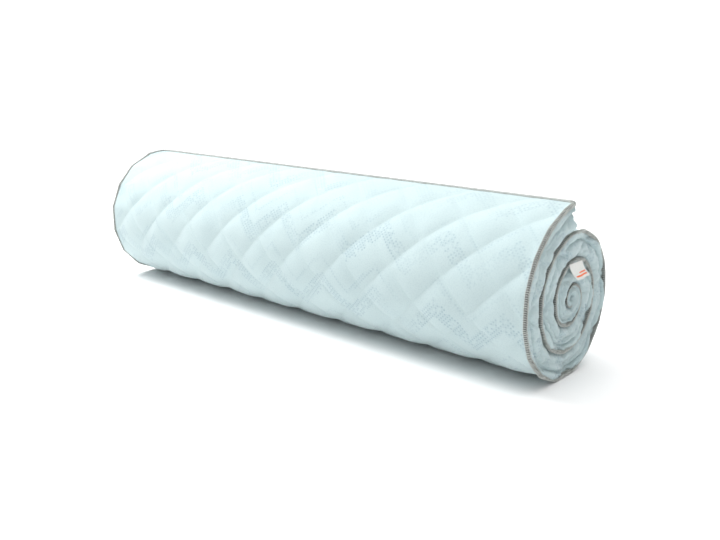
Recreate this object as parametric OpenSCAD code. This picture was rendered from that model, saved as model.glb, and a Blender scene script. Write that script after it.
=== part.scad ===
// Quilted mattress overlay, rolled up and lying on its side. Lengths in mm, angles in degrees.
// +X runs along the roll towards the end with the label, +Z is up, and the floor is z = 0.
// Turn angles are counted from the free end on top, over the front (-Y) and on into the roll.

/* [Roll] */
// Width of the overlay, which is the length of the roll
roll_length = 1600; // [900:10:2000]
// Radius of the outer face at the free end
roll_radius = 228; // [180:1:260]
// How far the outer face moves in with every turn
turn_pitch = 65; // [50:0.5:80]
// Thickness of the overlay where it isn't squeezed
thickness = 63; // [40:0.5:64]
// Turn angle from which the winding tightens into the centre curl
curl_start = 960; // [720:5:1080]
// Turn angle of the inner end
inner_end = 1265; // [1100:5:1400]
// How far the roll's own weight flattens its underside
flat_depth = 3.5; // [0:0.5:6]

/* [Layers] */
// Knit cover on either face
cover = 2; // [1:0.5:4]
// Fibre wadding that the cover is quilted to
wadding = 8; // [4:0.5:15]
// Overlock edging, seen from the end: along the face of the roll
seam_band = 10; // [4:0.5:16]
// Overlock edging: how far it stands out past the cover
seam_out = 4; // [2:0.5:8]

/* [Free end] */
// Number of hinged lengths in the part that unrolls
flaps = 8; // [4:1:8]
// Turn angle covered by each of them
flap_angle = 20; // [15:1:22]
// Clearance between neighbouring lengths, at the outer face
flap_gap = 0.4; // [0.2:0.1:1]

/* [Label] */
// Width along the seam
label_width = 64; // [30:1:90]
// Length from the seam to the free edge
label_drop = 42; // [20:1:70]
// Thickness of the folded ribbon
label_thick = 0.8; // [0.4:0.1:2]
// Height of its sewn edge above the roll's centre
label_height = 92; // [70:1:95]
// How far it leans out from hanging straight
label_lean = 20; // [0:1:60]

/* [Output] */
// Sub-part to show, or all

/* [Hidden] */
step = 5;
label_standoff = 0.6;
seam_gap = 0.05;
label_reach = label_standoff + label_drop * sin(label_lean) + label_thick * cos(label_lean);
// the label reaches past one end, so the overlay is moved back by half of that
x_mid = -label_reach / 2;
half = roll_length / 2;
x_cover = half - seam_out;      // end of the covers
x_fill = x_cover - cover;       // end of wadding and foam

squeeze = 0.97;                 // share of the winding's pitch that the overlay may fill
curl_rate = face_r(curl_start) * 360 / turn_pitch;
roll_z = face_r(180) - flat_depth;
roll_y = -(min([for (a = [60:1:120]) -face_r(a) * sin(a)])
         + max([for (a = [240:1:300]) -face_r(a) * sin(a)])) / 2;

// depths of the layer boundaries, as shares of the thickness
d_cover = cover / thickness;
d_wad = (cover + wadding) / thickness;
d_seam = seam_band / thickness;

function face_r(a) = a <= curl_start || curl_start < 0 ? roll_radius - turn_pitch * a / 360
    : (roll_radius - turn_pitch * curl_start / 360) * exp(-(a - curl_start) / curl_rate);

function thick(a) = min(thickness, squeeze * (face_r(a) - face_r(a + 360)));

// point in the Y-Z plane at turn angle a and depth share d below the outer face
function spot(a, d) = let (r = face_r(a) - d * thick(a), z = roll_z + r * cos(a))
    [roll_y - r * sin(a), abs(a - 180) < 30 ? max(z, d * (thickness - flat_depth - 1)) : z];

// turn angles at the corners of an outline from a to b. The inner ones are counted from whole steps
// off a, so that neighbouring layers share their corners even where one starts or ends sooner.
function stops(a, b, from, to) = let (n = max(1, round((to - from) / step)))
    concat([a], [for (i = [1:n - 1]) let (t = from + (to - from) * i / n) if (t > a && t < b) t], [b]);

// outline of a layer from turn angle a to b, between depth shares d and e, in the length from..to;
// wall is a pair of extra corners where a cover closes the length's end
function layer(a, b, d, e, from = undef, to = undef, wall = undef) =
    let (s0 = stops(a, b, is_undef(from) ? a : from, is_undef(to) ? b : to),
         s = is_undef(wall) ? s0 : concat([for (t = s0) if (t < wall[0]) t], wall,
                                          [for (t = s0) if (t > wall[1]) t]))
    concat([for (t = s) spot(t, d)], [for (i = [len(s) - 1:-1:0]) spot(s[i], e)]);

// turn angle that spans the length s on the outer face at a
function turn_of(s, a) = s / face_r(a) * 180 / PI;

module along(x0, x1, outline)
    translate([x_mid + x0, 0, 0]) rotate([90, 0, 90])
        linear_extrude(height = x1 - x0) polygon(outline);

module face_cover(a, b, wall) along(-x_cover, x_cover, layer(a, b, 0, d_cover, wall = wall));

module wadding_pair(a, b, from, to) {
    along(-x_fill, x_fill, layer(a, b, d_cover, d_wad, from, to));
    along(-x_fill, x_fill, layer(a, b, 1 - d_wad, 1 - d_cover, from, to));
}

module foam(a, b, from, to) along(-x_fill, x_fill, layer(a, b, d_wad, 1 - d_wad, from, to));

// the back cover also closes both long edges, up to the seam
module back_cover(a, b, wall) {
    along(-x_cover, x_cover, layer(a, b, 1 - d_cover, 1, wall = wall));
    along(-x_cover, -x_fill, layer(a, b, d_cover, 1, wall = wall));
    along(x_fill, x_cover, layer(a, b, d_cover, 1, wall = wall));
}

module overlock(a, b, wall) {
    along(-half, -x_cover, layer(a, b, 0, d_seam, wall = wall));
    along(x_cover, half, layer(a, b, 0, d_seam, wall = wall));
}

// one length of the overlay from turn angle a to b; the back cover closes it, just clear of the
// filling, at a or b if that is an end
module length_of(part, a, b, first = false, last = false) {
    in_a = first ? a + turn_of(cover, a) : a;
    in_b = last ? b - turn_of(cover, b) : b;
    wall = first ? [in_a - turn_of(seam_gap, a), in_a] :
           last ? [in_b, in_b + turn_of(seam_gap, b)] : undef;
    if (part == "face_cover") face_cover(a, b, wall);
    if (part == "wadding") wadding_pair(in_a, in_b, a, b);
    if (part == "foam") foam(in_a, in_b, a, b);
    if (part == "back_cover") {
        back_cover(a, b, wall);
        if (first) along(-x_cover, x_cover, layer(a, wall[0], d_cover, 1));
        if (last) along(-x_cover, x_cover, layer(wall[1], b, d_cover, 1, a, b));
    }
    if (part == "overlock") overlock(a, b, wall);
}

parts = ["face_cover", "wadding", "foam", "back_cover", "overlock"];
split = turn_of(flap_gap / 2, 0);
roll_start = flaps * flap_angle;

// length number k of the free end, counted outwards from the roll
module flap(k, part) {
    a = roll_start - k * flap_angle;
    length_of(part, k == flaps ? 0 : a + split, a + flap_angle - split, first = k == flaps);
}

module roll(part) length_of(part, roll_start + split, inner_end, last = true);

// the seams across both ends stand just clear of the covers they are sewn to
module free_end_seam() along(-half, half, layer(-turn_of(seam_out, 0), -turn_of(seam_gap, 0), 0, d_seam));

module inner_end_seam()
    along(-half, half, layer(inner_end + turn_of(seam_gap, inner_end),
                             inner_end + turn_of(seam_out * 0.75, inner_end), 0, 0.5));

module label()
    translate([x_mid + half + label_standoff, roll_y, roll_z + label_height])
        rotate([0, -label_lean, 0])
            translate([0, -label_width / 2, -label_drop])
                cube([label_thick, label_width, label_drop]);

for (p = parts) roll(p);
for (k = [1:flaps], p = parts)
    flap(k, p);
free_end_seam();
inner_end_seam();
label();
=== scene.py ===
"""Looks of the rolled quilted mattress overlay. Metres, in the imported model's frame."""
import math

import bpy
import numpy as np
from mathutils import Matrix, Vector


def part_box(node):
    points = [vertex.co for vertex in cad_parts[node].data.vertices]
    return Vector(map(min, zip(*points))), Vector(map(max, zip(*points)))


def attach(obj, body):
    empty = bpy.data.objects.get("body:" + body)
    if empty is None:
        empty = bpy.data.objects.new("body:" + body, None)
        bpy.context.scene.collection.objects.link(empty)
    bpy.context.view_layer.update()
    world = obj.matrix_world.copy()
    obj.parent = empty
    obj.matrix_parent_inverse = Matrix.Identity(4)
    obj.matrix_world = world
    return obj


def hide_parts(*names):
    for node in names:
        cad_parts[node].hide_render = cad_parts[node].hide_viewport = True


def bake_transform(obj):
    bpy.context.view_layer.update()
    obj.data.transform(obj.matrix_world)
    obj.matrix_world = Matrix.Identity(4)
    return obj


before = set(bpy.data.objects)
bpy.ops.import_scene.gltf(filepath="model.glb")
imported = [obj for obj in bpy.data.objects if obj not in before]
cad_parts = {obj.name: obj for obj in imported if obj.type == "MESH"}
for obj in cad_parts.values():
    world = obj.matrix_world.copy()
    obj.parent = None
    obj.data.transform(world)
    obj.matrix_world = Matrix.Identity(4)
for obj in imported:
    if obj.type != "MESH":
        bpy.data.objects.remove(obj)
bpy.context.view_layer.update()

# ---------------------------------------------------------------- the roll, as in the CAD
MM = 0.001
R_TOP = 0.228                  # the outer face's radius at turn angle 0, on top
PITCH = 0.065                  # the radius shrinks by this in a turn
THICK = 0.063                  # the layer's thickness
CURL, A_END = 960.0, 1265.0    # turn angles where the tight middle starts, and of the inner end
FLAT = 0.0035                  # the underside is pressed flat by this much
REST_A, REST_FADE = 32, 4      # within this angle of the bottom it rests on the floor, and the fade
SQUEEZE = 0.97                 # share of the pitch that the layer fills in the tight middle
FLAPS, FLAP_A = 8, 20.0        # hinged lengths of the free half turn, and the angle of each
A_ROLL = FLAPS * FLAP_A        # the roll's own body starts here


def face_r(a):
    a = np.asarray(a, float)
    r1 = R_TOP - PITCH * CURL / 360
    return np.where(a <= CURL, R_TOP - PITCH * a / 360,
                    r1 * np.exp(-(a - CURL) * PITCH / (360 * r1)))


def thick(a):
    a = np.asarray(a, float)
    return np.minimum(THICK, SQUEEZE * (face_r(a) - face_r(a + 360)))


def sideways(a):
    return -face_r(a) * np.sin(np.radians(a))


edging_lo, edging_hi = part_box("roll_overlock")
X_MID, HALF = (edging_lo[0] + edging_hi[0]) / 2, (edging_hi[0] - edging_lo[0]) / 2
# the roll's axis, midway between its front and its back
ZC = float(face_r(180)) - FLAT
YC = -(np.min(sideways(np.arange(60, 121))) + np.max(sideways(np.arange(240, 301)))) / 2

# arc length on the outer face against turn angle
TURN_A = np.linspace(-8, A_END + 60, 12000)
turn_r = face_r(TURN_A)
turn_steps = np.radians(np.diff(TURN_A)) * (turn_r[1:] + turn_r[:-1]) / 2
TURN_S = np.concatenate([[0], np.cumsum(turn_steps)])
TURN_S -= np.interp(0.0, TURN_A, TURN_S)


def s_of(a):
    return np.interp(a, TURN_A, TURN_S)


def a_of(s):
    return np.interp(s, TURN_S, TURN_A)


def place(a, x, d):
    """Point at turn angle a, x along the roll from its middle, d below the outer face."""
    t = np.radians(a)
    r = face_r(a) - d
    y = YC - r * np.sin(t)
    z = ZC + r * np.cos(t)
    # the underside rests on the floor, and bends up softly from it
    near = np.clip((REST_A - np.abs(a - 180)) / REST_FADE, 0, 1)
    floor = d * (THICK - FLAT - MM) / THICK
    above = z - floor
    pressed = floor + 0.5 * (above + np.sqrt(above * above + (0.7 * MM) ** 2))
    z = z + near * (pressed - z)
    return np.stack([X_MID + x + 0 * y, y, z], -1)


# ---------------------------------------------------------------- small helpers
CELLS = 64                     # the noise repeats after this many cells


def noise(u, v, seed, octaves=3):
    """Smooth value noise of about -1 to 1, one cell per unit of u and v."""
    rng = np.random.default_rng(seed)
    out, amp, tot = 0.0, 1.0, 0.0
    for _ in range(octaves):
        tab = rng.uniform(-1, 1, (CELLS, CELLS))
        iu, iv = np.floor(u).astype(int), np.floor(v).astype(int)
        fu, fv = u - iu, v - iv
        fu, fv = fu * fu * (3 - 2 * fu), fv * fv * (3 - 2 * fv)
        iu, iv = iu % CELLS, iv % CELLS
        ju, jv = (iu + 1) % CELLS, (iv + 1) % CELLS
        out = out + amp * ((tab[iu, iv] * (1 - fu) + tab[ju, iv] * fu) * (1 - fv)
                           + (tab[iu, jv] * (1 - fu) + tab[ju, jv] * fu) * fv)
        tot += amp
        amp *= 0.5
        u, v = u * 2.03, v * 2.03
    return out / tot * 1.6


def step01(x):
    """Smooth step from 0 to 1."""
    x = np.clip(x, 0, 1)
    return x * x * (3 - 2 * x)


def link(obj):
    bpy.context.scene.collection.objects.link(obj)
    return obj


def mesh_piece(name, verts, faces, mats, uv=None, normals=None, face_mat=None):
    """A mesh object from points, and from faces as an array of quads or a list of polygons."""
    me = bpy.data.meshes.new(name)
    verts = np.asarray(verts, np.float32)
    sizes = np.array([len(f) for f in faces], np.int32)
    flat = np.concatenate(faces).astype(np.int32)
    me.vertices.add(len(verts))
    me.vertices.foreach_set("co", verts.ravel())
    me.loops.add(len(flat))
    me.loops.foreach_set("vertex_index", flat)
    me.polygons.add(len(sizes))
    starts = np.concatenate([[0], np.cumsum(sizes)[:-1]]).astype(np.int32)
    me.polygons.foreach_set("loop_start", starts)
    me.polygons.foreach_set("use_smooth", np.ones(len(sizes), bool))
    if uv is not None:
        lay = me.uv_layers.new(name="flat")
        lay.data.foreach_set("uv", np.asarray(uv, np.float32)[flat].ravel())
    for m in mats:
        me.materials.append(m)
    if face_mat is not None:
        me.polygons.foreach_set("material_index", np.asarray(face_mat, np.int32))
    me.update()
    me.validate()
    if normals is not None:
        me.normals_split_custom_set_from_vertices(np.asarray(normals, np.float32).tolist())
    return link(bpy.data.objects.new(name, me))


# ---------------------------------------------------------------- materials
class Nodes:
    """A few shorthands for building node trees."""

    def __init__(self, nt):
        self.nt = nt

    def add(self, kind, **kw):
        n = self.nt.nodes.new(kind)
        for k, v in kw.items():
            setattr(n, k, v)
        return n

    def put(self, sock, val):
        if isinstance(val, bpy.types.NodeSocket):
            self.nt.links.new(val, sock)
        elif val is not None:
            sock.default_value = val

    def put_all(self, node, values):
        for name, val in values.items():
            self.put(node.inputs[name], val)

    def math(self, op, a, b=None):
        n = self.add("ShaderNodeMath", operation=op)
        self.put(n.inputs[0], a)
        self.put(n.inputs[1], b)
        return n.outputs[0]

    def mix(self, fac, a, b):
        n = self.add("ShaderNodeMix", data_type="RGBA")
        self.put(n.inputs[0], fac)
        self.put(n.inputs[6], a)
        self.put(n.inputs[7], b)
        return n.outputs[2]

    def ramp(self, x, lo, hi):
        n = self.add("ShaderNodeMapRange")
        self.put(n.inputs[0], x)
        self.put(n.inputs[1], lo)
        self.put(n.inputs[2], hi)
        return n.outputs[0]

    def noise(self, vector, scale, detail, dimensions="2D"):
        n = self.add("ShaderNodeTexNoise", noise_dimensions=dimensions)
        self.put_all(n, {"Vector": vector, "Scale": scale, "Detail": detail})
        return n.outputs[0]

    def bands(self, vector, way, scale, distortion=0.0):
        n = self.add("ShaderNodeTexWave", wave_type="BANDS", bands_direction=way)
        self.put_all(n, {"Vector": vector, "Scale": scale, "Distortion": distortion})
        return n.outputs[1]

    def relief(self, bsdf, height, strength, distance):
        n = self.add("ShaderNodeBump")
        self.put_all(n, {"Height": height, "Strength": strength, "Distance": distance})
        self.put(bsdf.inputs["Normal"], n.outputs[0])

    def flat_uv(self):
        """Place on the flat cloth, as a vector and as its two parts."""
        uv = self.add("ShaderNodeUVMap", uv_map="flat")
        sep = self.add("ShaderNodeSeparateXYZ")
        self.put(sep.inputs[0], uv.outputs[0])
        return uv.outputs[0], sep.outputs[0], sep.outputs[1]


def new_mat(name):
    m = bpy.data.materials.new(name)
    m.use_nodes = True
    return m, Nodes(m.node_tree), m.node_tree.nodes["Principled BSDF"]


QX, QS = 0.1583, 0.162         # one diamond across the width and along the length
PHASE_X, PHASE_S = -0.2274, 0.1288    # a crossing of the stitch lines on the face cover
BACK_X, BACK_S = 0.0465, 0.020        # and one on the back cover

CELL = QX / 26                 # side of one little square of the jacquard
ZIGZAG, SLOPE = 0.0925, 0.95   # its bands turn after this length, and climb by this share of it
BAND_PITCH = 0.171             # from one pair of bands to the next
BROAD, FINE = (0.050, 0.025), (0.118, 0.007)    # their middles and half widths
STITCH_HALF = 0.0075           # half a stitch's width, as a share of a diamond
STITCHES = 38.0                # stitches along one side of a diamond

KNIT_A = (0.450, 0.555, 0.565, 1)
KNIT_B = (0.480, 0.585, 0.592, 1)
KNIT_DARK = (0.29, 0.40, 0.45, 1)
# lighter colour of the stitch dashes: a painted highlight on the raised stitch lines
STITCH_HIGHLIGHT = (0.50, 0.61, 0.62, 1)


def jacquard(k, uv, s, t):
    """Small squares in zigzag bands, a broad one and a fine one in turn: 0 to 1."""
    cs, ct = k.math("FLOOR", k.math("DIVIDE", s, CELL)), k.math("FLOOR", k.math("DIVIDE", t, CELL))
    sc, tc = k.math("MULTIPLY", cs, CELL), k.math("MULTIPLY", ct, CELL)
    zig = k.math("PINGPONG", k.math("ADD", tc, 5.0), ZIGZAG)
    zag = k.math("SUBTRACT", k.math("MULTIPLY", zig, SLOPE), sc)
    across = k.math("MODULO", k.math("ADD", zag, 5.03), BAND_PITCH)
    broad, fine = (k.math("LESS_THAN", k.math("ABSOLUTE", k.math("SUBTRACT", across, mid)), half)
                   for mid, half in (BROAD, FINE))
    inside = k.math("MAXIMUM", broad, k.math("MULTIPLY", fine, 0.6))
    # the bands come and go in large patches
    fade = k.ramp(k.noise(uv, 5.5, 1.0), 0.34, 0.60)
    inside = k.math("MULTIPLY", inside, k.math("ADD", k.math("MULTIPLY", fade, 0.75), 0.25))
    # every other square is fainter, and some are left out
    odd = k.math("PINGPONG", k.math("ADD", cs, ct), 1.0)
    comb = k.add("ShaderNodeCombineXYZ")
    k.put(comb.inputs[0], cs)
    k.put(comb.inputs[1], ct)
    chance = k.add("ShaderNodeTexWhiteNoise", noise_dimensions="2D")
    k.put(chance.inputs["Vector"], comb.outputs[0])
    there = k.math("GREATER_THAN", chance.outputs[0], 0.22)
    solid = k.math("MULTIPLY", there, k.math("ADD", 0.35, k.math("MULTIPLY", odd, 0.65)))
    # each square stands clear of the next
    fs = k.math("PINGPONG", k.math("DIVIDE", s, CELL), 0.5)
    ft = k.math("PINGPONG", k.math("DIVIDE", t, CELL), 0.5)
    inner = k.ramp(k.math("MINIMUM", fs, ft), 0.07, 0.15)
    return k.math("MULTIPLY", k.math("MULTIPLY", solid, inside), inner)


def stitch_dashes(k, s, t):
    """Short dashes along both families of the quilting lines: 0 to 1. They lighten the knit as a
    painted highlight on the raised stitches, and the cross family is painted fainter, as it catches
    less light.
    """
    ps = k.math("DIVIDE", k.math("SUBTRACT", s, PHASE_S), QS)
    pt = k.math("DIVIDE", k.math("SUBTRACT", t, PHASE_X), QX)
    families = []
    # the cross family's dashes are painted fainter: painted shade where that family catches less
    # light
    for sign, lit_share in ((1.0, 1.0), (-1.0, 0.35)):
        w = k.math("ADD", ps, k.math("MULTIPLY", pt, sign))
        along = k.math("SUBTRACT", ps, k.math("MULTIPLY", pt, sign))
        off = k.math("ABSOLUTE", k.math("SUBTRACT", w, k.math("ROUND", w)))
        on = k.math("LESS_THAN", off, STITCH_HALF)
        beat = k.math("PINGPONG", k.math("MULTIPLY", along, STITCHES), 0.5)
        dash = k.math("GREATER_THAN", beat, 0.14)
        families.append(k.math("MULTIPLY", k.math("MULTIPLY", on, dash), lit_share))
    return k.math("MAXIMUM", *families)


def knit_material():
    m, k, bsdf = new_mat("quilted_knit")
    uv, s, t = k.flat_uv()
    dark, lines = jacquard(k, uv, s, t), stitch_dashes(k, s, t)
    # soft mottling, and the speckle of the knit
    col = k.mix(k.ramp(k.noise(uv, 9.0, 4.0), 0.3, 0.7), KNIT_A, KNIT_B)
    speckle = k.ramp(k.noise(uv, 260.0, 2.0), 0.45, 0.70)
    col = k.mix(k.math("MULTIPLY", speckle, 0.22), col, KNIT_DARK)
    col = k.mix(k.math("MULTIPLY", dark, 0.74), col, KNIT_DARK)
    # the stitch dashes lighten the knit: a painted highlight on the raised stitches
    col = k.mix(k.math("MULTIPLY", lines, 0.45), col, STITCH_HIGHLIGHT)
    k.put_all(bsdf, {"Base Color": col, "Roughness": 0.85, "Specular IOR Level": 0.25,
                     "Sheen Weight": 0.25, "Sheen Roughness": 0.5})
    # knit relief
    ribs = [k.math("MULTIPLY", k.bands(uv, way, 130.0, 0.6), 0.25) for way in "XY"]
    h = k.math("ADD", k.math("ADD", *ribs), k.math("MULTIPLY", k.noise(uv, 320.0, 3.0), 0.6))
    h = k.math("SUBTRACT", h, k.math("MULTIPLY", dark, 0.5))
    h = k.math("SUBTRACT", h, k.math("MULTIPLY", lines, 0.6))
    k.relief(bsdf, h, 0.35, 0.0009)
    return m


def thread_material(name, a, b):
    m, k, bsdf = new_mat(name)
    grain = k.noise(k.add("ShaderNodeTexCoord").outputs["Object"], 190.0, 3.0, "3D")
    colour = k.mix(k.ramp(grain, 0.35, 0.65), a, b)
    k.put_all(bsdf, {"Base Color": colour, "Roughness": 0.75, "Sheen Weight": 0.2})
    k.relief(bsdf, grain, 0.5, 0.0004)
    return m


KNIT = knit_material()
THREAD = thread_material("overlock_thread", (0.40, 0.42, 0.40, 1), (0.54, 0.57, 0.54, 1))
# the bed under the long edges' threads is near-black: painted shade in the gaps between the thread
# turns
GAP_SHADE_BED = thread_material("overlock_bed_gap_shade", (0.07, 0.075, 0.07, 1), (0.12, 0.125, 0.12, 1))
PALE_BED = thread_material("overlock_pale_bed", (0.38, 0.41, 0.40, 1), (0.48, 0.51, 0.50, 1))

# ---------------------------------------------------------------- the quilted overlay
OUT_DEPTH = 0.0071     # how deep the outer face's stitch lines lie
IN_DEPTH = 0.0065      # and the inner face's
SIDE_DEPTH = 0.0095    # and the border's
LIP = 0.004            # how far the free end stands up
EDGE = 0.026           # width of the rounded border on the inner face
SEAM_D = 0.0035        # the two covers meet this far below the outer face
RIM = 0.036            # the outer face comes down to the seam over this width
FACETS = 0.0042, 0.0024    # sag of the rim between stitch lines, at the far and the near end
N_EDGE = 22            # points round the border
SEAM_IN = 0.003        # the seam lies this far inside the edging's outer side
ROW_GAP = 0.003        # least room between the free end's border and the next row
END_W = 0.010          # the inner end is rounded over this length
POWER = 6.5            # the border's section is a superellipse of this power


def border_profile():
    """Points from the seam (0, 0) round the border to the flat inner face (1, 1)."""
    ph = np.linspace(0, math.pi / 2, 400)
    x, d = 1 - np.cos(ph) ** (2 / POWER), np.sin(ph) ** (2 / POWER)
    X, D = x * EDGE, d * THICK
    L = np.concatenate([[0], np.cumsum(np.hypot(np.diff(X), np.diff(D)))])
    q = np.linspace(0, L[-1], N_EDGE)
    return np.interp(q, L, x), np.interp(q, L, d), q, L[-1]


BX, BD, BQ, BLEN = border_profile()


def quads(idx, flip=False):
    """Quads of a grid of point numbers."""
    a, b, c, d = idx[:-1, :-1], idx[1:, :-1], idx[1:, 1:], idx[:-1, 1:]
    q = np.stack([a, b, c, d], -1).reshape(-1, 4)
    return q[:, ::-1] if flip else q


def drape(P, rest, hold, outward, pressure, bend, grow=0.0, frames=18, stretch=12.0):
    """Cloth solve of a grid of points, cut to the lengths it has in rest; hold pins it."""
    me = bpy.data.meshes.new("cloth")
    idx = np.arange(P.shape[0] * P.shape[1]).reshape(P.shape[:2])
    F = quads(idx)
    p0 = P.reshape(-1, 3)
    fn = np.cross(p0[F[:, 1]] - p0[F[:, 0]], p0[F[:, 3]] - p0[F[:, 0]])
    if np.sum(fn * outward.reshape(-1, 3)[F[:, 0]]) < 0:
        F = F[:, ::-1]
    me.from_pydata(p0.tolist(), [], F.tolist())
    ob = link(bpy.data.objects.new("cloth", me))
    grp = ob.vertex_groups.new(name="hold")
    w = np.round(hold.ravel(), 3)
    for val in np.unique(w):
        if val > 0:
            grp.add(np.nonzero(w == val)[0].tolist(), float(val), "REPLACE")
    ob.shape_key_add(name="Basis")
    key = ob.shape_key_add(name="rest")
    key.data.foreach_set("co", rest.astype(np.float32).ravel())
    key.value = 0.0
    mod = ob.modifiers.new("cloth", "CLOTH")
    st = mod.settings
    st.rest_shape_key = key
    st.quality = 7
    st.mass = 0.02
    st.tension_stiffness = st.compression_stiffness = stretch
    st.shear_stiffness = stretch * 0.3
    st.bending_stiffness = bend
    st.tension_damping = st.compression_damping = st.shear_damping = 4.0
    st.bending_damping = 0.5
    st.air_damping = 3.0
    st.vertex_group_mass = "hold"
    st.pin_stiffness = 1.0
    st.use_pressure = True
    st.uniform_pressure_force = pressure
    st.shrink_min = -grow
    st.effector_weights.gravity = 0.0
    mod.collision_settings.use_collision = False
    mod.collision_settings.use_self_collision = False
    mod.point_cache.frame_start, mod.point_cache.frame_end = 1, frames
    scene = bpy.context.scene
    for f in range(1, frames + 1):
        scene.frame_set(f)
    ev = ob.evaluated_get(bpy.context.evaluated_depsgraph_get())
    out = np.empty(len(p0) * 3, np.float32)
    ev.data.vertices.foreach_get("co", out)
    scene.frame_set(1)
    bpy.data.objects.remove(ob)
    bpy.data.meshes.remove(me)
    return out.reshape(P.shape).astype(float)


TILE = 28                      # points across one diamond of the draped pattern
TILE_SLACK = 1.02              # its cloth is cut this much larger
MAIN_HOLD, CROSS_HOLD = 1.0, 0.62      # the cross lines' stitches give a little


def draped_tile():
    """Relief of one diamond, 0 at the stitches to 1: quilted cloth over its wadding."""
    n = 3 * TILE + 1
    i, j = np.meshgrid(np.arange(n), np.arange(n), indexing="ij")
    P = np.stack([i * QS / TILE, j * QX / TILE, 0.0 * i], -1).astype(float)
    main, cross = (i + j) % TILE == 0, (i - j) % TILE == 0
    hold = np.where(main, MAIN_HOLD, np.where(cross, CROSS_HOLD, 0.0))
    hold[0] = hold[-1] = 1.0
    hold[:, 0] = hold[:, -1] = 1.0
    P[..., 2] = np.where(hold == 0, 0.0008, 0.0)
    out = np.zeros_like(P)
    out[..., 2] = 1
    Q = drape(P, P * (TILE_SLACK, TILE_SLACK, 1.0), hold, out, 130.0, 0.5)
    h = Q[TILE:2 * TILE + 1, TILE:2 * TILE + 1, 2]
    return np.clip(h / h.max(), 0, 1)


def pillow(u, v):
    """Relief at u, v, where the stitch lines run through whole numbers of u + v and u - v."""
    fu, fv = (u % 1.0) * TILE, (v % 1.0) * TILE
    iu, iv = np.minimum(fu.astype(int), TILE - 1), np.minimum(fv.astype(int), TILE - 1)
    fu, fv = fu - iu, fv - iv
    R = RELIEF
    return (R[iu, iv] * (1 - fu) + R[iu + 1, iv] * fu) * (1 - fv) \
        + (R[iu, iv + 1] * (1 - fu) + R[iu + 1, iv + 1] * fu) * fv


def stitch_gap(u, v):
    """Distance from the nearest stitch line, as a share of a diamond."""
    return np.minimum(np.abs(u + v - np.round(u + v)), np.abs(u - v - np.round(u - v))) * 2


RELIEF = draped_tile()


def inner_columns(coarse):
    """Columns of a run between its two borders, on the stitch pattern's grid."""
    dx = QX / TILE
    n = math.ceil(HALF / dx)
    cols = np.arange(-n, n + 1) * dx + PHASE_X % dx
    cols = cols[np.abs(cols) < HALF - EDGE - 0.002]
    if coarse:
        keep = (np.abs(cols) > HALF - EDGE - 0.05) | (np.arange(len(cols)) % 5 == 0)
        cols = cols[keep]
    return cols


CORNERS = (0.050, 0.020)       # radii of the free end's corners


def corner_inset(s, r):
    """How far the long edge lies inside a square corner, s from the free end."""
    c = np.clip(r - s, 0, r)
    return r - np.sqrt(r ** 2 - c ** 2)


def build_sheet(s_lo, s_hi, ds, coarse=False, first=False, last=False):
    """Grid of both faces between two arc lengths: each point's place on the flat overlay."""
    cols = inner_columns(coarse)
    # column layout: border, flat, border
    flat = np.ones(len(cols))
    fx = np.concatenate([BX, flat, BX[::-1]])                    # border share across
    fd = np.concatenate([BD, flat, BD[::-1]])                    # and down
    q = np.concatenate([BLEN - BQ, 0 * flat, BLEN - BQ[::-1]])   # way up the border
    side = np.concatenate([-np.ones(N_EDGE), 0 * flat, np.ones(N_EDGE)])
    base_x = np.concatenate([np.zeros(N_EDGE), cols, np.zeros(N_EDGE)])
    off = PHASE_S % ds
    k0, k1 = math.ceil((s_lo - off) / ds - 1e-6), math.floor((s_hi - off) / ds + 1e-6)
    s_mid = np.arange(k0, k1 + 1) * ds + off
    rfd, rs, rq = np.ones(len(s_mid)), s_mid, np.zeros(len(s_mid))
    if first:
        keep = s_mid > EDGE + ROW_GAP
        rs = np.concatenate([BX * EDGE, s_mid[keep]])
        rfd = np.concatenate([BD, np.ones(keep.sum())])
        rq = np.concatenate([BQ - BLEN, np.zeros(keep.sum())])
    if last:
        end = float(s_of(A_END))
        keep = rs < end - END_W - 0.002
        rs = np.concatenate([rs[keep], end - BX[::-1] * END_W])
        rfd = np.concatenate([rfd[keep], BD[::-1]])
        rq = np.concatenate([rq[keep], (BLEN - BQ[::-1]) * END_W / EDGE])
    a = a_of(rs)
    T = thick(a)
    k = (T / THICK)[:, None]
    ew = EDGE * np.sqrt(k)
    inset = np.where(side[None] + base_x[None] < 0, corner_inset(rs, CORNERS[0])[:, None],
                     corner_inset(rs, CORNERS[1])[:, None])
    X = np.where(side[None] == 0, base_x[None],
                 side[None] * (HALF - SEAM_IN - fx[None] * (ew - SEAM_IN)))
    # the free end's corners are rounded: the columns close up towards it
    room = HALF - EDGE - 0.09
    closer = room + (np.abs(X) - room) * (1 - inset / (HALF - room))
    X = np.sign(X) * np.where(np.abs(X) > room, closer, np.abs(X))
    S = np.repeat(rs[:, None], len(fx), 1)
    A = np.repeat(a[:, None], len(fx), 1)
    # unfolded coordinates, in which the stitch lines run straight on round the border
    tin = np.where(side[None] == 0, base_x[None], side[None] * (HALF - EDGE + q[None])) + 0 * S
    return dict(s=S, a=A, x=X, k=k, inset=inset, T=T[:, None], fd=fd[None], rfd=rfd[:, None],
                tin=tin, sin=S + rq[:, None],
                q=np.abs(q)[None] / BLEN, rq=np.abs(rq)[:, None] / BLEN)


def rim_sag(s, x, k):
    """The edging runs nearly straight from one stitch line to the next."""
    tight = np.clip((HALF - np.abs(x)) / 0.11, 0, 1)
    t_seg = ((s - PHASE_S) / (QS / 2)) % 1.0 * 2 - 1
    sag = np.where(x < 0, *FACETS) * (1 - t_seg ** 2) * (1 - tight) ** 2 * k
    return sag * np.clip(s / 0.05, 0, 1)


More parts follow.
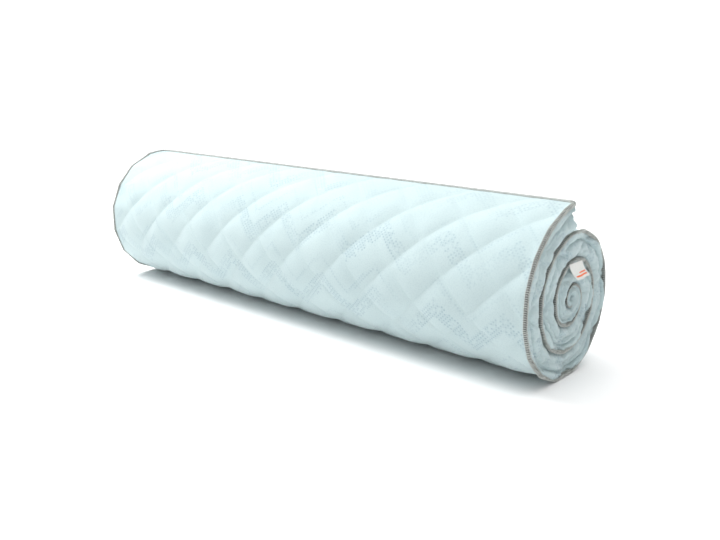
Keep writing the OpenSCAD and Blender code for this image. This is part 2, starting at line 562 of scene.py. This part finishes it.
def outer_face(g, sag, lip):
    s, a, x, k = g["s"], g["a"], g["x"], g["k"]
    edge = np.clip((HALF - g["inset"] - np.abs(x)) / RIM, 0, 1)
    free = np.clip(s / RIM, 0, 1)
    rim = step01(np.minimum(edge, free))
    puff = pillow((s - PHASE_S) / QS, (x - PHASE_X) / QX)
    # small wrinkles, broad waves, and fine puckers along the stitches
    wr = noise(s / 0.05, x / 0.05, 11) * 0.0007 + noise(s / 0.3, x / 0.35, 12, 2) * 0.0016
    wr = wr + np.exp(-puff * 6) * noise((s + x) / 0.012, (s - x) / 0.012, 13, 2) * 0.0004
    depth = k * (OUT_DEPTH * (1 - puff) + 0.001 - wr) * rim + SEAM_D * np.sqrt(k) * (1 - rim)
    return place(a, x, depth + sag - lip)


def inner_face(g, sag, lip):
    """The base surface at the stitch lines' depth, then puffed out along its normal."""
    a, x, k = g["a"], g["x"], g["k"]
    power = 3.0
    fall = np.clip(1 - g["fd"], 0, 1) ** power + np.clip(1 - g["rfd"], 0, 1) ** power
    fall = fall ** (1 / power)
    share = np.clip(1 - fall, 0, 1)
    sd = SEAM_D * np.sqrt(k)
    depth = sd + (g["T"] - IN_DEPTH * k - sd) * share + (sag - lip) * (1 - share)
    base = place(a, x, depth)
    n = grid_normals(base)
    ref = place(a, x, depth + 0.001) - base
    mid = n.shape[1] // 2
    if np.sum(n[:, mid] * ref[:, mid]) < 0:
        n = -n
    ui, vi = (g["sin"] - BACK_S) / QS, (g["tin"] - BACK_X) / QX
    border = np.maximum(g["q"], g["rq"])
    # towards the border the cover is drawn flat and the turns close up on each other
    soft = 0.45 + 0.55 * step01(stitch_gap(ui, vi))
    soft = soft + (0.95 - soft) * (1 - step01((border - 0.2) / 0.3))
    pin = pillow(ui, vi)
    pin = pin + (soft - pin) * step01((np.abs(x) - HALF + 0.085 + 0.1 * (border > 0)) / 0.045)
    seam_fade = step01((1 - border) / 0.22)
    amp = (IN_DEPTH + (SIDE_DEPTH - IN_DEPTH) * step01(border / 0.4)) * k
    wri = noise(g["sin"] / 0.04, g["tin"] / 0.04, 21) * 0.0012 \
        + np.exp(-pin * 5) * noise((ui + vi) * 12, (ui - vi) * 12, 22, 2) * 0.0012
    lift = (amp * pin + wri * k) * seam_fade
    lift = np.minimum(lift, amp * 1.02)
    return base + n * lift[..., None]


def surfaces(g):
    """Outer and inner points of a run."""
    sag = rim_sag(g["s"], g["x"], g["k"])
    lip = LIP * (1 - step01(g["a"] / 30)) ** 2
    return outer_face(g, sag, lip), inner_face(g, sag, lip)


def grid_normals(P):
    n = np.cross(np.gradient(P, axis=0), np.gradient(P, axis=1))
    n /= np.linalg.norm(n, axis=-1, keepdims=True) + 1e-12
    return n


def quilt_piece(name, g, outer, inner, nrm, r0, r1, free_lo=False, free_hi=False):
    """A closed piece of the overlay between two rows of a run; a free end's row is welded shut."""
    C = outer.shape[1]
    R = r1 - r0 + 1
    o = np.arange(R * C).reshape(R, C)
    i = o + R * C
    i[:, 0], i[:, -1] = o[:, 0], o[:, -1]
    if free_lo:
        i[0] = o[0]
    if free_hi:
        i[-1] = o[-1]
    V = np.concatenate([outer[r0:r1 + 1].reshape(-1, 3), inner[r0:r1 + 1].reshape(-1, 3)])
    N = np.concatenate([nrm[0][r0:r1 + 1].reshape(-1, 3), nrm[1][r0:r1 + 1].reshape(-1, 3)])
    uvo = np.stack([g["s"], g["x"]], -1)[r0:r1 + 1].reshape(-1, 2)
    uvi = np.stack([g["sin"], g["tin"]], -1)[r0:r1 + 1].reshape(-1, 2)
    UV = np.concatenate([uvo, uvi])
    fo, fi = quads(o), quads(i, True)
    F = np.concatenate([fo, fi]).tolist()
    for row, welded, flip in ((0, free_lo, False), (-1, free_hi, True)):
        if not welded:
            cap = o[row].tolist() + i[row, 1:-1][::-1].tolist()
            F.append(cap[::-1] if flip else cap)
    # a quad in the middle of the outer face decides which way round the whole piece goes
    p = V[fo[len(fo) // 2]]
    fn = np.cross(p[1] - p[0], p[2] - p[0])
    c = p.mean(0)
    if fn @ (c - np.array([c[0], YC, ZC])) < 0:
        F = [f[::-1] for f in F]
    # quads that share a welded edge lose the repeated corner
    used = [list(dict.fromkeys(f)) for f in F]
    used = [f for f in used if len(f) > 2]
    keep = np.unique(np.concatenate([np.array(f) for f in used]))
    new = -np.ones(len(V), int)
    new[keep] = np.arange(len(keep))
    used = [[int(new[j]) for j in f] for f in used]
    ob = mesh_piece(name, V[keep], used, [KNIT], uv=UV[keep], normals=N[keep])
    return ob


def soft_nodes(body):
    return [f"{body}_{layer}" for layer in ("face_cover", "wadding", "foam", "back_cover")]


DS = QS / TILE                 # rows of the grids, on the stitch pattern

# outer run: the free end and the first turns, finely divided; inner run: the rest
CUT_A = 520.0
s_cut = round((float(s_of(CUT_A)) - PHASE_S) / DS) * DS + PHASE_S
run1 = build_sheet(0.0, s_cut, DS, first=True)
o1, i1 = surfaces(run1)
run2 = build_sheet(s_cut, float(s_of(A_END)), DS, coarse=True, last=True)
o2, i2 = surfaces(run2)


N_SIDE = N_EDGE + 8            # columns of the border's cloth, some of them on the flat
HELD = 0.052                   # stitches hold the border's cloth up to this far from the seam
VALLEY = 0.009                 # half width of a crease's valley
# each crease's distance from the seam, its wander and the wander's length, how firmly it is held,
# its depth, and the level of noise under which it stops
CREASES = ((0.025, 0.005, 0.11, 1.00, 0.0140, -1.2), (0.044, 0.007, 0.17, 0.85, 0.0085, -0.1))
CORNER, CORNER_OUT = 0.054, 0.0095     # the border fills out this far from the seam, by this much
START_IN = 0.0055              # and starts this far inside the edging
STAND_OUT = 0.007              # it stays within this of the edging's outer side
UP_SLACK, IN_SLACK = 1.26, 1.06        # its cloth is cut this much larger, up the wall and inwards


def folds(side, s, q, pin):
    """How firmly the border's cloth is held, and how far in, at distance q from the seam."""
    wall = np.arange(N_SIDE)[None] < N_EDGE
    upright = wall & (q < HELD)
    hold = np.where((pin < 0.08) & upright, 0.85, 0.0)
    sink = np.where(upright, 0.0080 * np.clip(1 - pin / 0.22, 0, 1), 0.0)
    # creases along the border, where the quilted covers are folded over the edge
    for where, wander, grain, weight, deep, level in CREASES:
        line = where + wander * noise(s / grain, 0 * s + 3 * side + where * 900, 31, 2)
        on = step01((noise(s / 0.13, 0 * s + 7 * side + where * 500, 32, 1) - level) / 0.35)
        near = np.abs(q - line)
        hold = np.where((on > 0.5) & wall & (near < 0.5 * BQ[1]), weight, hold)
        sink = np.maximum(sink, on * wall * deep * np.clip(1 - near / VALLEY, 0, 1))
    hold[:, 0] = hold[:, -1] = hold[0] = hold[-1] = 1.0
    # the border starts a little inside the edging and fills out at its inner corner
    corner = CORNER_OUT * np.exp(-((q - CORNER) / 0.009) ** 2)
    return hold, sink + (START_IN * step01(q / 0.008) - corner) * wall


def side_cloth(side, i1, i2):
    """Drape one long border as cloth held by the edging, its creases and the stitch lines."""
    cols = np.arange(N_SIDE) if side < 0 else -1 - np.arange(N_SIDE)
    P = np.concatenate([i1[:, cols], i2[1:, cols]])

    def both(key):
        return np.concatenate([run1[key][:, cols], run2[key][1:, cols]])

    s = both("s")
    q = np.concatenate([BQ, BLEN + np.arange(N_SIDE - N_EDGE) * DS])[None] + 0 * s
    pin = stitch_gap((both("sin") - BACK_S) / QS, (both("tin") - BACK_X) / QX)
    hold, sink = folds(side, s, q, pin)
    k = np.concatenate([run1["k"], run2["k"][1:]])
    P[..., 0] -= side * sink * k * step01((THICK - np.minimum(q, THICK * 0.98)) / 0.02)
    x = P[..., 0] - X_MID
    r = np.hypot(P[..., 1] - YC, P[..., 2] - ZC)
    R = r[:, :1]
    grown = (R - (R - r) * UP_SLACK) / r
    rest = P.copy()
    rest[..., 1] = YC + (P[..., 1] - YC) * grown
    rest[..., 2] = ZC + (P[..., 2] - ZC) * grown
    rest[..., 0] = X_MID + side * (HALF - (HALF - np.abs(x)) * IN_SLACK)
    out = P - np.array([0, YC, ZC])
    out[..., 0] = 0
    out /= -np.linalg.norm(out, axis=-1, keepdims=True)
    out[:, :N_EDGE - 3] = (side, 0, 0)
    Q = drape(P, rest, hold, out, 120.0, 0.25, grow=0.03)
    # it hardly stands out past the edging, and stays off the neighbouring turn and the floor
    over = side * (Q[..., 0] - X_MID) - HALF
    Q[..., 0] -= side * np.where(over > 0, over - STAND_OUT * (1 - np.exp(-over / STAND_OUT)), 0)
    lowest = R - np.concatenate([run1["T"], run2["T"][1:]]) - 0.0022
    r = np.hypot(Q[..., 1] - YC, Q[..., 2] - ZC)
    fix = np.where(r < lowest, lowest / r, 1.0)
    Q[..., 1] = YC + (Q[..., 1] - YC) * fix
    Q[..., 2] = np.maximum(ZC + (Q[..., 2] - ZC) * fix, 0.0006)
    n = len(i1)
    i1[:, cols] = Q[:n]
    i2[:, cols] = Q[n - 1:]


def face_normals(o, i):
    """Normals of both faces, the outer one's away from the roll's axis, the inner one's to it."""
    no = grid_normals(o)
    c = o - np.array([0, YC, ZC])
    c[..., 0] = 0
    if np.sum(no * c) < 0:
        no = -no
    ni = grid_normals(i)
    mid = ni.shape[1] // 2
    ci = (i - np.array([0, YC, ZC]))[:, mid]
    ci[..., 0] = 0
    if np.sum(ni[:, mid] * ci) > 0:
        ni = -ni
    return no, ni


for side in (-1, 1):
    side_cloth(side, i1, i2)
n1, n2 = face_normals(o1, i1), face_normals(o2, i2)
row_a = run1["a"][:, 0]


def row_at(a):
    return int(np.argmin(np.abs(row_a - a)))


BEND_SHARE = 0.93              # share of the inner face between hinges that bends


def hinge_angle(k):
    """Turn angle of hinge k, 1 next to the roll."""
    return A_ROLL - (k - 1) * FLAP_A


def bend_span(k):
    """Start and end of the bend across hinge k."""
    a = hinge_angle(k)
    h = place(np.array(a), np.array(0.0), np.array(0.0))
    inner_r = float(face_r(a)) - THICK - 0.002
    reach = inner_r * math.sin(math.radians(FLAP_A / 2)) * BEND_SHARE
    p = place(np.array([a + FLAP_A / 2, a - FLAP_A / 2]), np.zeros(2), np.zeros(2))
    d = (p[1] - p[0]) / np.linalg.norm(p[1] - p[0])
    d[0] = 0
    h = np.array([0, h[1], h[2]])
    return tuple(h - d * reach), tuple(h + d * reach)


# a piece runs from the middle of one length to the middle of the next
cuts = [row_at(hinge_angle(k) + FLAP_A / 2) for k in range(1, FLAPS + 2)]
for k in range(1, FLAPS + 1):
    ob = quilt_piece(f"quilt_bend_{k}", run1, o1, i1, n1, cuts[k], cuts[k - 1])
    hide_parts(*soft_nodes(f"flap_{k}"))
    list(bend_span(k))
    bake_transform(ob)
ob = quilt_piece("quilt_free_end", run1, o1, i1, n1, 0, cuts[-1], free_lo=True)
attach(ob, f"flap_{FLAPS}")
ob = quilt_piece("quilt_outer_turns", run1, o1, i1, n1, cuts[0], len(row_a) - 1)
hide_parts(*soft_nodes("roll"))
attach(ob, "roll")
ob = quilt_piece("quilt_inner_turns", run2, o2, i2, n2, 0, len(run2["a"]) - 1, free_hi=True)
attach(ob, "roll")

# ---------------------------------------------------------------- overlock edging
class Edge:
    """An edge of the overlay as a path with a frame: along it, off it and into the overlay."""

    def __init__(self, P, N, away, arc=None):
        gap = np.linalg.norm(np.diff(P, axis=0), axis=1)
        keep = np.concatenate([[True], gap > 2e-5])
        P, N = P[keep], N[keep]
        away = away[keep] if len(away) == len(keep) else away
        self.P = P
        self.arc = None if arc is None else arc[keep]
        self.L = np.concatenate([[0], np.cumsum(np.linalg.norm(np.diff(P, axis=0), axis=1))])
        T = np.gradient(P, self.L, axis=0)
        self.T = T / np.linalg.norm(T, axis=1, keepdims=True)
        off = np.cross(self.T, N)
        off *= np.sign(np.sum(off * away, 1, keepdims=True).mean() or 1.0)
        self.off = off / np.linalg.norm(off, axis=1, keepdims=True)
        self.into = -N / np.linalg.norm(N, axis=1, keepdims=True)

    def length(self, s):
        """Length along the path where the overlay's arc length is s."""
        return float(np.interp(s, self.arc, self.L))

    def at(self, L):
        """Point, direction, way off the overlay and way into it, at a length along the path."""
        def f(M):
            return np.stack([np.interp(L, self.L, M[:, j]) for j in range(3)], -1)

        def unit(v):
            return v / np.linalg.norm(v, axis=-1, keepdims=True)
        return f(self.P), unit(f(self.T)), unit(f(self.off)), unit(f(self.into))


def band(phi, size=1.0):
    """Profile of the edging: off the overlay and into it."""
    def squared(v):
        return np.sign(v) * np.abs(v) ** 0.72
    return (-0.0042 + 0.0052 * size * squared(np.cos(phi)),
            0.0012 + 0.0042 * size * squared(np.sin(phi)))


def tube_faces(rows, ring):
    idx = np.arange(rows * ring).reshape(rows, ring)
    return quads(np.concatenate([idx, idx[:, :1]], 1))


BED_STEP, BED_RING = 0.004, 10         # spacing of the bed's sections, and points round one
THREAD_PITCH, THREAD_R = 0.0051, 0.00105
TURN_N, TUBE_N = 14, 5         # points along one turn of the thread, and round it


def edging(edge, s0, s1, scale=lambda s: 1.0 + 0 * s):
    """The bed and the wound threads of the edging from s0 to s1: vertices, quads, materials."""
    rows = max(2, int(round((s1 - s0) / BED_STEP)) + 1)
    s = np.linspace(s0, s1, rows)
    P, _, O, I = edge.at(s)
    u, w = band(np.linspace(0, 2 * np.pi, BED_RING, endpoint=False), 0.84)
    ring = O[:, None] * u[None, :, None] + I[:, None] * w[None, :, None]
    V = [(P[:, None] + scale(s)[:, None, None] * ring).reshape(-1, 3)]
    F = [tube_faces(rows, BED_RING)]
    Mi = [np.zeros(len(F[0]), int)]
    sj = np.arange(math.ceil(s0 / THREAD_PITCH), math.ceil(s1 / THREAD_PITCH)) * THREAD_PITCH
    if len(sj):
        ph = np.linspace(0, 2 * np.pi, TURN_N, endpoint=False)
        u, w = band(ph, 1.0)
        ss = sj[:, None] + 0.0030 * np.sin(ph)[None] + 0.0008 * np.sin(2 * ph)[None]
        P, _, O, I = edge.at(ss)
        k = scale(ss)[..., None]
        C = P + k * (O * u[None, :, None] + I * w[None, :, None])
        D = np.roll(C, -1, 1) - np.roll(C, 1, 1)
        D /= np.linalg.norm(D, axis=-1, keepdims=True)
        out = C - C.mean(1, keepdims=True)
        out -= D * np.sum(out * D, -1, keepdims=True)
        out /= np.linalg.norm(out, axis=-1, keepdims=True)
        side = np.cross(D, out)
        th = np.linspace(0, 2 * np.pi, TUBE_N, endpoint=False)
        rad = THREAD_R * (1 + 0.18 * np.sin(7.3 * sj / THREAD_PITCH))[:, None, None, None]
        rad = rad * k[..., None]
        G = C[:, :, None] + rad * (out[:, :, None] * np.cos(th)[None, None, :, None] * 0.8
                                   + side[:, :, None] * np.sin(th)[None, None, :, None])
        V.append(G.reshape(-1, 3))
        idx = np.arange(len(sj) * TURN_N * TUBE_N).reshape(len(sj), TURN_N, TUBE_N)
        idx = idx + BED_RING * rows
        idx = np.concatenate([idx, idx[:, :1]], 1)
        idx = np.concatenate([idx, idx[:, :, :1]], 2)
        q = np.stack([idx[:, :-1, :-1], idx[:, 1:, :-1], idx[:, 1:, 1:], idx[:, :-1, 1:]], -1)
        F.append(q.reshape(-1, 4))
        Mi.append(np.ones(len(F[1]), int))
    return np.concatenate(V), np.concatenate(F), np.concatenate(Mi)


# by default the bed is near-black, painted shade between the thread turns
def edging_piece(name, parts, bed=GAP_SHADE_BED):
    V, F, Mi, n = [], [], [], 0
    for v, f, m in parts:
        V.append(v)
        F.append(f + n)
        Mi.append(m)
        n += len(v)
    ob = mesh_piece(name, np.concatenate(V), np.concatenate(F), [bed, THREAD],
                    face_mat=np.concatenate(Mi))
    return ob


def radial(P):
    N = P - np.array([0, YC, ZC])
    N[..., 0] = 0
    return N / np.linalg.norm(N, axis=-1, keepdims=True)


rows_all = np.concatenate([run1["s"][:, 0], run2["s"][1:, 0]])
long_edges = []
for j, sx in ((0, -1.0), (-1, 1.0)):
    P = np.concatenate([o1[:, j], o2[1:, j]])
    long_edges.append(Edge(P, radial(P), np.array([[sx, 0, 0]]), rows_all))


def core_scale(edge):
    """The edging gets finer with the layer in the tight middle."""
    return lambda L: np.sqrt(thick(a_of(np.interp(L, edge.L, edge.arc))) / THICK)


s_cuts = [float(run1["s"][c, 0]) for c in cuts]
for k in range(1, FLAPS + 1):
    ob = edging_piece(f"overlock_bend_{k}",
                      [edging(e, e.length(s_cuts[k]), e.length(s_cuts[k - 1])) for e in long_edges])
    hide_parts(f"flap_{k}_overlock")
    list(bend_span(k))
    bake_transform(ob)
ob = edging_piece("overlock_free_end", [edging(e, 0.0, e.length(s_cuts[-1])) for e in long_edges])
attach(ob, f"flap_{FLAPS}")
ob = edging_piece("overlock_roll",
                  [edging(e, e.length(s_cuts[0]), e.L[-1], core_scale(e)) for e in long_edges])
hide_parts("roll_overlock")
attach(ob, "roll")

# the seam across the free end, and the one inside the roll
for name, node, body, P, back, size in (
        ("overlock_across_free_end", "free_end_seam", f"flap_{FLAPS}", o1[0], o1[9] - o1[0], 1.0),
        ("overlock_across_inner_end", "inner_end_seam", "roll", o2[-1], o2[-9] - o2[-1], 0.5)):
    e = Edge(P, radial(P), -back)
    ob = edging_piece(name, [edging(e, 0.0, float(e.L[-1]), lambda L: size + 0 * L)], PALE_BED)
    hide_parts(node)
    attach(ob, body)

# ---------------------------------------------------------------- label
LABEL_W, LABEL_L = 0.062, 0.041        # flat size, along the seam and down from it
LABEL_T = 0.0007
SATIN_A, SATIN_B = (0.74, 0.75, 0.72, 1), (0.66, 0.67, 0.64, 1)
ORANGE = (0.85, 0.16, 0.035, 1)
# the mark's two bars, as shares of the label from one side and from the free edge
BARS = ((0.10, 0.90, 0.16, 0.26), (0.42, 0.90, 0.33, 0.42))


def label_material():
    m, k, bsdf = new_mat("label_satin")
    uv, u, v = k.flat_uv()

    def inside(x, lo, hi):
        return k.math("MULTIPLY", k.math("GREATER_THAN", x, lo), k.math("LESS_THAN", x, hi))

    mark = k.math("MAXIMUM", *[k.math("MULTIPLY", inside(u, u0, u1), inside(v, v0, v1))
                               for u0, u1, v0, v1 in BARS])
    weave = k.bands(uv, "Y", 40.0)
    base = k.mix(k.math("MULTIPLY", weave, 0.4), SATIN_A, SATIN_B)
    k.put_all(bsdf, {"Base Color": k.mix(mark, base, ORANGE), "Roughness": 0.45,
                     "Sheen Weight": 0.15})
    k.relief(bsdf, weave, 0.25, 0.0003)
    return m


def label_front(U, V, top_z, end_x):
    """Points of the label's front, sewn along its top and leaning out as it hangs."""
    drop = 1 - V                               # 0 at the sewn edge, 1 at the free edge
    lean = 0.20 + 0.62 * step01(drop * 1.1) * (0.75 + 0.25 * (1 - U))
    step = np.abs(np.gradient(drop, axis=1))

    def run(part):
        return np.cumsum((part * step * LABEL_L)[:, ::-1], axis=1)[:, ::-1]

    curl = 0.0022 * np.sin(np.pi * U) * drop - 0.001 * np.cos(3.1 * np.pi * U) * drop
    x = end_x + 0.0012 + run(np.sin(lean)) + curl
    y = YC - 0.034 + LABEL_W * U + 0.006 * drop
    z = top_z - run(np.cos(lean)) + 0.003 * U * drop
    return np.stack([x, y, z], -1)


def label_piece():
    nu, nv = 25, 17
    U, V = np.meshgrid(np.linspace(0, 1, nu), np.linspace(0, 1, nv), indexing="ij")
    front = label_front(U, V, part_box("label")[1][2], X_MID + HALF)
    out = grid_normals(front)
    if out[..., 0].mean() < 0:
        out = -out
    verts = np.concatenate([front.reshape(-1, 3), (front - out * LABEL_T).reshape(-1, 3)])
    f = np.arange(nu * nv).reshape(nu, nv)
    b = f + nu * nv
    F = [quads(f), quads(b, True)]
    for one, two, flip in ((f[0], b[0], True), (f[-1], b[-1], False),
                           (f[:, 0], b[:, 0], False), (f[:, -1], b[:, -1], True)):
        rim = np.stack([one[:-1], one[1:], two[1:], two[:-1]], -1)
        F.append(rim[:, ::-1] if flip else rim)
    F = np.concatenate(F)
    p = verts[F[0]]
    if np.cross(p[1] - p[0], p[2] - p[0])[0] < 0:
        F = F[:, ::-1]
    uv = np.stack([U, V], -1).reshape(-1, 2)
    return mesh_piece("label_ribbon", verts, F, [label_material()], uv=np.concatenate([uv, uv]))


label = label_piece()
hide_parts("label")
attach(label, "label")

# ---------------------------------------------------------------- stage, light and camera
WIDE, FLOOR_Z = 30.0, -0.0005
corners = [(x * WIDE, y * WIDE, FLOOR_Z) for x, y in ((-1, -1), (1, -1), (1, 1), (-1, 1))]
floor_mesh = bpy.data.meshes.new("floor")
floor_mesh.from_pydata(corners, [], [(0, 1, 2, 3)])
floor = link(bpy.data.objects.new("floor", floor_mesh))
white, nodes, bsdf = new_mat("floor_white")
nodes.put_all(bsdf, {"Base Color": (0.97, 0.97, 0.97, 1), "Roughness": 0.9})
floor.data.materials.append(white)

world = bpy.context.scene.world or bpy.data.worlds.new("world")
bpy.context.scene.world = world
world.use_nodes = True
sky_nodes = Nodes(world.node_tree)
view_dir = sky_nodes.add("ShaderNodeTexCoord").outputs["Generated"]
# patches of sky: a direction, the cosines to it where one starts and where it is full, its strength
PATCHES = (
    ((-0.15, 0, 1), 0.25, 1.0, 0.24),          # a broad one from above
    ((0, 0, 1), 0.7, 1.0, 2.0),                # a bright one straight above
    ((0, 0, 1), 0.17, 0.08, 0.9),              # white from just over the horizon down
    ((-0.62, 0.74, 0), -0.2, 0.75, 0.70),      # behind the roll
    ((-0.35, -0.8, 1), 0.6, 1.0, 0.45),        # on its front
    ((1, -0.35, 0.75), 0.65, 1.0, 0.5))        # on its near end


def toward(direction, lo, hi, strength):
    """A soft patch of sky that brightens towards a direction."""
    dot = sky_nodes.add("ShaderNodeVectorMath", operation="DOT_PRODUCT")
    sky_nodes.put(dot.inputs[0], view_dir)
    dot.inputs[1].default_value = Vector(direction).normalized()
    m = sky_nodes.add("ShaderNodeMapRange", interpolation_type="SMOOTHSTEP")
    sky_nodes.put(m.inputs[0], dot.outputs["Value"])
    for i, v in enumerate((lo, hi, 0.0, strength)):
        m.inputs[i + 1].default_value = v
    return m.outputs[0]


sky = 0.10
for patch in PATCHES:
    sky = sky_nodes.math("ADD", toward(*patch), sky)
background = world.node_tree.nodes["Background"]
background.inputs[0].default_value = (1, 1, 1, 1)
sky_nodes.put(background.inputs[1], sky)


def area(name, loc, at, size, power):
    """A soft rectangular light at loc, aimed at a point."""
    li = bpy.data.lights.new(name, "AREA")
    li.shape = "RECTANGLE"
    li.size, li.size_y = size
    li.energy = power
    o = link(bpy.data.objects.new(name, li))
    o.location = loc
    o.rotation_euler = (Vector(at) - Vector(loc)).to_track_quat("-Z", "Y").to_euler()
    return o


area("key_light", (-1.7, -0.6, 2.9), (-0.1, 0, 0.2), (1.6, 1.6), 93)

cam_data = bpy.data.cameras.new("camera")
cam = link(bpy.data.objects.new("camera", cam_data))
cam_data.sensor_width = 36
cam_data.lens = 40.7
yaw, pitch = math.radians(-41.4), math.radians(14.85)
ahead = Vector((math.sin(yaw) * math.cos(pitch), math.cos(yaw) * math.cos(pitch), -math.sin(pitch)))
right = Vector((math.cos(yaw), -math.sin(yaw), 0))
up = right.cross(ahead)
stand = Matrix((right, up, -ahead)).transposed().to_4x4()
eye = Vector((7.139, -7.412, 2.4214)) * R_TOP      # from the roll's middle
stand.translation = Vector((X_MID, YC, ZC)) + eye
cam.matrix_world = stand
cam_data.clip_end = 200
bpy.context.scene.camera = cam
bpy.context.scene.view_settings.view_transform = "Standard"
